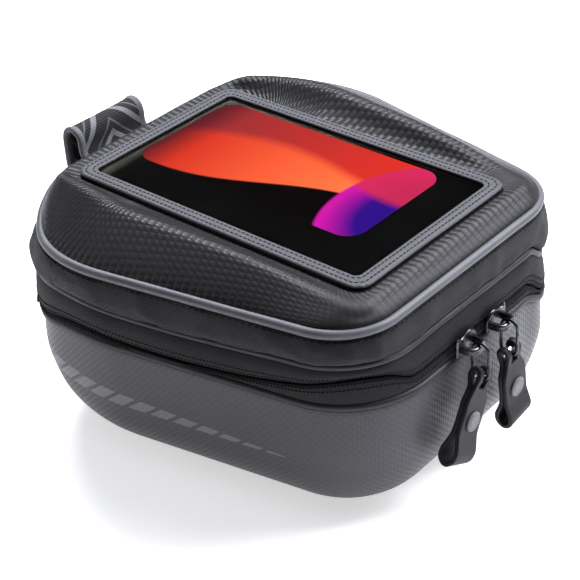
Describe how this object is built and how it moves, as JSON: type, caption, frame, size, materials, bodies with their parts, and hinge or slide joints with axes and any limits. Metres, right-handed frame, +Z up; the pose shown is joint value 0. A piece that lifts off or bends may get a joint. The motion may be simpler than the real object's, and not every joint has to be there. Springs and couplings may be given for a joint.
{
  "type": "motorcycle tank bag",
  "caption": "Compact moulded tank bag with a zipped lid, clear phone and map window, zip sliders with rubber pullers, front webbing handle and ring-mount floor.",
  "frame": {"origin": "centre of the ring socket's mouth, in the plane that the bag rests on", "axes": "+X towards the rider (the slider end), -X towards the handlebar (hinge and handle end), +Y to the far side, +Z up"},
  "size_m": [0.2424, 0.2052, 0.1253],
  "materials": {
    "moulded_grey": "grey carbon-look laminate over moulded EVA foam, fine twill emboss, low sheen",
    "moulded_black": "black carbon-look laminate over moulded EVA foam, ribbed emboss, satin sheen",
    "woven_band": "charcoal woven polyester twill, matt",
    "zip_tape": "black woven zip tape with stitched coil, matt",
    "zip_coil": "black polyester coil",
    "tab_fabric": "black folded grosgrain",
    "lining": "grey brushed polyester lining",
    "board": "black polypropylene board",
    "pad_rubber": "black ribbed non-slip rubber",
    "bead_black": "black vinyl-covered piping",
    "piping_grey": "dark grey vinyl-covered piping, satin",
    "mount_plastic": "black glass-filled nylon",
    "screw_steel": "zinc-plated steel",
    "frame_leather": "grey grained synthetic leather with dark stitching",
    "clear_film": "glossy clear TPU film",
    "card_print": "printed card, warm colour gradient on black",
    "hook_loop": "black hook-and-loop tape",
    "webbing": "woven webbing with a grey chevron pattern",
    "zip_metal": "black plated zinc, satin",
    "bar_steel": "bright steel pin",
    "strap_rubber": "black moulded rubber, matt",
    "rivet_grey": "grey lacquered rivet"
  },
  "bodies": {
    "base": {"base_pad": "pad_rubber", "body_edge_bead": "bead_black", "body_lining": "lining", "body_shell": "moulded_grey", "floor_board": "board", "hinge_strip_lower": "zip_tape", "mount_clamp_plate": "mount_plastic", "mount_ring": "mount_plastic", "mount_screws": "screw_steel", "zip_coil_lower": "zip_coil", "zip_end_tab_far": "tab_fabric", "zip_end_tab_near": "tab_fabric", "zip_tape_lower": "zip_tape"},
    "lid": {"band_bead": "bead_black", "handle_strap": "webbing", "hinge_strip_upper": "zip_tape", "insert_card": "card_print", "lid_band": "woven_band", "lid_piping": "piping_grey", "lid_shell": "moulded_black", "pocket_hook_strip": "hook_loop", "pocket_loop_strip": "hook_loop", "pocket_tray": "lining", "window_film": "clear_film", "window_frame": "frame_leather", "zip_coil_upper": "zip_coil", "zip_tape_upper": "zip_tape"},
    "slider_near": {"slider_bridge_near": "zip_metal", "slider_near": "zip_metal"},
    "link_near": {"pull_link_near": "zip_metal"},
    "puller_near": {"pull_bar_near": "bar_steel", "pull_rivet_near": "rivet_grey", "pull_strap_near": "strap_rubber"},
    "slider_far": {"slider_bridge_far": "zip_metal", "slider_far": "zip_metal"},
    "link_far": {"pull_link_far": "zip_metal"},
    "puller_far": {"pull_bar_far": "bar_steel", "pull_rivet_far": "rivet_grey", "pull_strap_far": "strap_rubber"}
  },
  "joints": [
    {"name": "lid_hinge", "type": "hinge", "parent": "base", "child": "lid", "pos_m": [-0.109, 0, 0.075], "axis": [0, -1, 0], "range_deg": [0, 85]},
    {"name": "zip_near", "type": "slide", "parent": "base", "child": "slider_near", "axis": [0, -1, 0], "range_m": [0, 0.026]},
    {"name": "link_swing_near", "type": "hinge", "parent": "slider_near", "child": "link_near", "pos_m": [0.1088, -0.009, 0.075], "axis": [0, -1, 0], "range_deg": [-2, 100]},
    {"name": "puller_swing_near", "type": "hinge", "parent": "link_near", "child": "puller_near", "pos_m": [0.1098, -0.009, 0.06205], "axis": [0, -0.8829, 0.4695], "range_deg": [-2, 60]},
    {"name": "zip_far", "type": "slide", "parent": "base", "child": "slider_far", "axis": [0, 1, 0], "range_m": [0, 0.026]},
    {"name": "link_swing_far", "type": "hinge", "parent": "slider_far", "child": "link_far", "pos_m": [0.1088, 0.013, 0.075], "axis": [0, -1, 0], "range_deg": [-2, 100]},
    {"name": "puller_swing_far", "type": "hinge", "parent": "link_far", "child": "puller_far", "pos_m": [0.1098, 0.013, 0.06205], "axis": [0, -0.9903, -0.1392], "range_deg": [-2, 60]}
  ]
}
